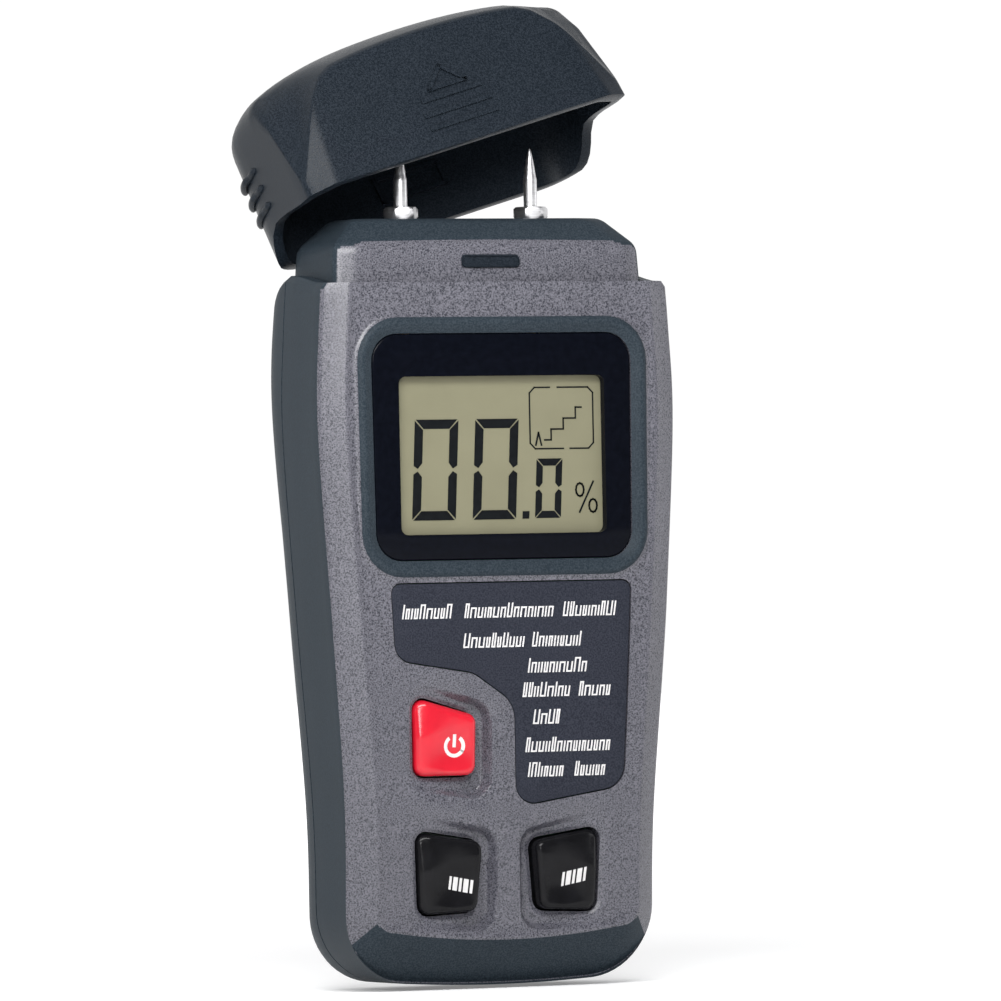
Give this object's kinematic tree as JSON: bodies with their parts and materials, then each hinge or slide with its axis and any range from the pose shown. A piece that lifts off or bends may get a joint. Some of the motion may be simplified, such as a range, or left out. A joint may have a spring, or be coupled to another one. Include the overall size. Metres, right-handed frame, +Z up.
{
  "type": "pin moisture meter",
  "caption": "Handheld two-pin moisture meter for wood and floors: bevelled two-shell case, LCD, three press keys, battery bay and a protective cap held open over the pins.",
  "frame": {"origin": "centre of the flat face at the bottom of the case, which the meter stands on", "axes": "+X is the display's right-hand side, +Y points through the case to its back, +Z runs up along the case to the pins"},
  "size_m": [0.0678, 0.0381, 0.159],
  "materials": {
    "casing_grey": "fine textured silver-grey",
    "casing_black": "fine textured blue-black",
    "head_grey": "fine textured dark grey",
    "cap_black": "satin, bright speckled bevels",
    "lens_black": "polished, black border",
    "lcd": "grey-green reflective display",
    "white_plastic": "plain",
    "black_rubber": "matte",
    "label": "printed film",
    "board_green": "solder mask",
    "chip_black": "moulded",
    "button_red": "glossy red",
    "button_black": "glossy black",
    "brass": "turned",
    "steel": "turned, bright",
    "screw_steel": "dark zinc",
    "battery_jacket": "plain printed sleeve",
    "wire_red": "insulated wire",
    "wire_black": "insulated wire"
  },
  "bodies": {
    "case": {"front_shell": "casing_grey", "rear_shell": "casing_black", "probe_head": "head_grey", "display_lens": "lens_black", "lcd_glass": "lcd", "lcd_frame": "white_plastic", "zebra_strip_lower": "black_rubber", "zebra_strip_upper": "black_rubber", "label_plate": "label", "main_board": "board_green", "processor_blob": "black_rubber", "amplifier_chip": "chip_black", "power_switch": "steel", "mode_switch": "steel", "hold_switch": "steel", "probe_pin_left": "steel", "probe_pin_right": "steel", "pin_nut_left": "steel", "pin_nut_right": "steel", "pin_socket_left": "brass", "pin_socket_right": "brass", "probe_lead_left": "wire_red", "probe_lead_right": "wire_black", "case_screw_upper_left": "screw_steel", "case_screw_upper_right": "screw_steel", "case_screw_lower_left": "screw_steel", "case_screw_lower_right": "screw_steel", "board_screw_upper_left": "screw_steel", "board_screw_upper_right": "screw_steel", "board_screw_lower_left": "screw_steel", "board_screw_lower_right": "screw_steel", "battery_9v": "battery_jacket", "battery_snap": "black_rubber", "battery_lead_red": "wire_red", "battery_lead_black": "wire_black"},
    "power_key": {"power_button": "button_red", "power_plunger": "white_plastic"},
    "mode_key": {"mode_button": "button_black", "mode_plunger": "white_plastic"},
    "hold_key": {"hold_button": "button_black", "hold_plunger": "white_plastic"},
    "door": {"battery_door": "casing_black"},
    "cap": {"protective_cap": "cap_black"}
  },
  "joints": [
    {"name": "power_press", "type": "slide", "parent": "case", "child": "power_key", "axis": [0, 1, 0], "range_m": [0, 0.0006], "stiffness_N_per_m": 400, "springref_m": -0.0005},
    {"name": "mode_press", "type": "slide", "parent": "case", "child": "mode_key", "axis": [0, 1, 0], "range_m": [0, 0.0006], "stiffness_N_per_m": 400, "springref_m": -0.0005},
    {"name": "hold_press", "type": "slide", "parent": "case", "child": "hold_key", "axis": [0, 1, 0], "range_m": [0, 0.0006], "stiffness_N_per_m": 400, "springref_m": -0.0005},
    {"name": "door_hinge", "type": "hinge", "parent": "case", "child": "door", "pos_m": [0, 0.01265, 0.01365], "axis": [-1, 0, 0], "range_deg": [0, 75]},
    {"name": "cap_hinge", "type": "hinge", "parent": "case", "child": "cap", "pos_m": [-0.02245, 0.02993, 0.11623], "axis": [-0.8, -0.6, 0], "range_deg": [-27.4, 0]}
  ]
}
